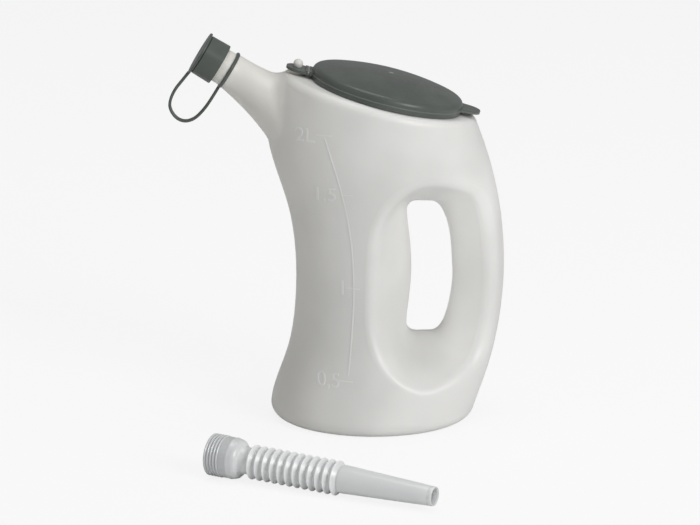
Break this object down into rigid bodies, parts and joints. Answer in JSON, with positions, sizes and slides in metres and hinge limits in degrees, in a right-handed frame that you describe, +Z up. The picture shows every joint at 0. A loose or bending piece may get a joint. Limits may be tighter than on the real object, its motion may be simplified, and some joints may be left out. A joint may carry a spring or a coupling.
{
  "type": "oil jug with spout",
  "caption": "Blow-moulded measuring jug for oil with an open pinched handle, a hinged lid over the filling mouth, a rising spout with a tethered cap, and a loose flexible bellows spout.",
  "frame": {"origin": "middle of the jug's base, on the surface that it stands on", "axes": "+Z up, the spout points towards -X and the handle towards +X, and the flexible spout lies on the -Y side"},
  "size_m": [0.2284, 0.2833, 0.2662],
  "materials": {
    "natural_plastic": "milky natural polyethylene, softly satin",
    "clear_plastic": "translucent soft polyethylene",
    "dark_plastic": "dark grey-green satin moulding"
  },
  "bodies": {
    "jug": {"jug_body": "natural_plastic", "lid_anchor": "dark_plastic", "flexible_spout": "clear_plastic"},
    "lid": {"lid": "dark_plastic"},
    "ring": {"neck_ring": "dark_plastic", "cap_strap": "dark_plastic"},
    "cap": {"spout_cap": "dark_plastic"}
  },
  "joints": [
    {"name": "lid_hinge", "type": "hinge", "parent": "jug", "child": "lid", "pos_m": [-0.04509, 0, 0.24216], "axis": [0, -1, 0], "range_deg": [0, 105]},
    {"name": "cap_swivel", "type": "hinge", "parent": "jug", "child": "ring", "pos_m": [-0.0982, 0, 0.2405], "axis": [-0.8526, 0, 0.5225], "continuous": true},
    {"name": "cap_pull", "type": "slide", "parent": "ring", "child": "cap", "axis": [-0.8526, 0, 0.5225], "range_m": [0, 0.025], "deforming": ["cap_strap"]}
  ]
}
